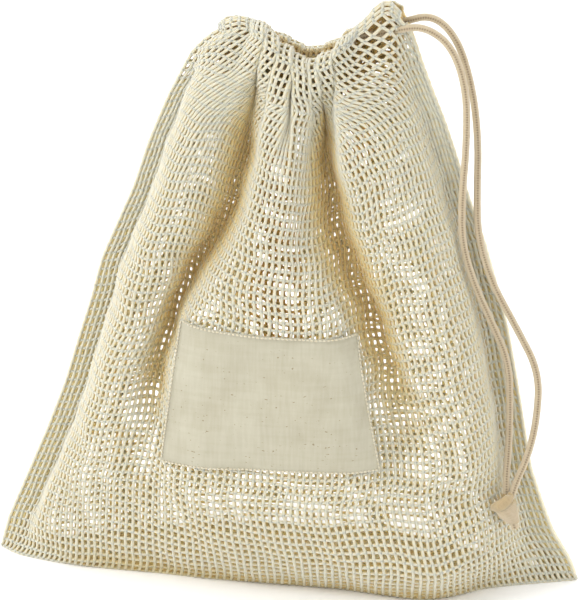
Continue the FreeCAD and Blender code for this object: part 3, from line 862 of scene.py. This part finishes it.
patch_surface = patch_grid()
patch = cloth_piece("woven_label_patch", patch_surface, 0.0005, calico_material())
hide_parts("label_patch")
patch_out = outward(patch_surface, -1)
stitching = Tubes()
for edge in patch_border():
    rows, columns = zip(*edge)
    stitch_row(stitching, patch_surface[rows, columns], patch_out[rows, columns], 0.0021, 0.0017, 0.0005)
patch_thread = stitching.mesh("patch_stitches", THREAD)
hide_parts("patch_stitching")


# ---------------------------------------------------------------- seams

SEAM_TOP = int(0.88 * ROWS)
SEAM_CELLS = 6
front_grid, back_grid = panels["front"]["grid"], panels["back"]["grid"]


def seam_allowance(end, between):
    """Two layers of net inside a side edge, half a cell apart, and the yarn along the edge."""
    up = np.zeros_like(between[:-1])
    up[..., 1] = -1
    allowance = Tubes()
    for shift, lift in ((0.5, -0.00045), (0.0, 0.00045)):
        layer = between[:-1] * (1 - shift) + between[1:] * shift + np.array([0, lift, 0])
        # painted light and shade: the allowance inside the bag is coloured golden and darker
        add_net(allowance, jitter(layer, 0.00015, 3), up, np.full(layer.shape[:2], 0.4), 0.1,
                np.full(layer.shape[:2], 0.6), knot=0.9, run=0.75)
    side_edge = (front_grid + back_grid)[None, :SEAM_TOP + 6, 0 if end == "left" else -1] / 2
    allowance.add(side_edge, (0, -1, 0), 0.0009, 6, 0.05, 0.2)
    seam = allowance.mesh(end + "_seam_net", NET)
    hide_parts(end + "_seam_allowance")
    return seam


def overlock_thread(end, inner_edge):
    """Loops of thread over an allowance's inner edge, between one straight thread on each side."""
    turn = np.arange(len(inner_edge))
    loops = inner_edge + np.stack([0.0011 * np.cos(turn * math.pi) + 0.0004,
                                   0.0012 * np.cos(turn * math.pi / 2), 0.0004 * np.sin(turn)], -1)
    overlock = Tubes()
    # painted shade: the overlock thread is coloured darker, more so on the side towards the cloth
    overlock.add(loops[None], (0, -1, 0), 0.00035, 6, 0.3, 0.3)
    for lift in (-0.0012, 0.0012):
        overlock.add(inner_edge[None] + np.array([0, lift, 0]), (0, -1, 0), 0.0003, 6, 0.3, 0.3)
    thread = overlock.mesh(end + "_overlock_thread", THREAD)
    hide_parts(end + "_overlock_stitching")
    return thread


for end, cells in (("left", slice(0, SEAM_CELLS)), ("right", slice(COLUMNS, COLUMNS - SEAM_CELLS, -1))):
    halfway = (front_grid[:, cells] + back_grid[:, cells]) / 2
    between = (halfway[:SEAM_TOP, :-1] + halfway[:SEAM_TOP, 1:]) / 2
    seam_allowance(end, between)
    overlock_thread(end, finer(between[None, :, -1])[0])


# ---------------------------------------------------------------- bottom and hem thread

def bottom_net():
    """The net that the bag stands on: yarns from front to back, and level ones over them."""
    bottom = Tubes()
    share = np.linspace(0, 1, 31)[None, :, None]
    columns = front_grid[0][:, None] * (1 - share) + back_grid[0][:, None] * share
    columns[..., 2] = 0.001
    # painted light and shade: the net under the bag, which lies in shade, is coloured a bright gold, and a
    # little browner as painted shade
    bottom.add(columns[2:-2], (0, 0, 1), 0.00085, 5, 0.5, 0.1, 0.2)
    pitch, count = 0.0034, 90
    for y in np.arange(-14, 15) * pitch:
        inside = [x for x in np.linspace(-0.15, 0.15, 301)
                  if np.interp(x, front_grid[0, :, 0], front_grid[0, :, 1]) < y
                  < np.interp(x, back_grid[0, :, 0], back_grid[0, :, 1])]
        if len(inside) > 20:
            line = np.stack([np.linspace(inside[0], inside[-1], count), np.full(count, y),
                             np.full(count, 0.0011)], -1)
            bottom.add(line[None], (0, 0, 1), 0.00085, 5, 0.5, 0.1, 0.2)
    return bottom.mesh("bottom_net", NET)


base = bottom_net()
HEM_STITCH_ROW = ROWS - 6
for label, panel in panels.items():
    threads = Tubes()
    line, out = panel["grid"][HEM_STITCH_ROW, 2:-2], panel["out"][HEM_STITCH_ROW, 2:-2]
    stitch_row(threads, line + 0.0005 * out, out, 0.0033, 0.0021, 0.0003)
    stitches = threads.mesh(label + "_hem_stitches", THREAD)
    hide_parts(label + "_hem_stitching")
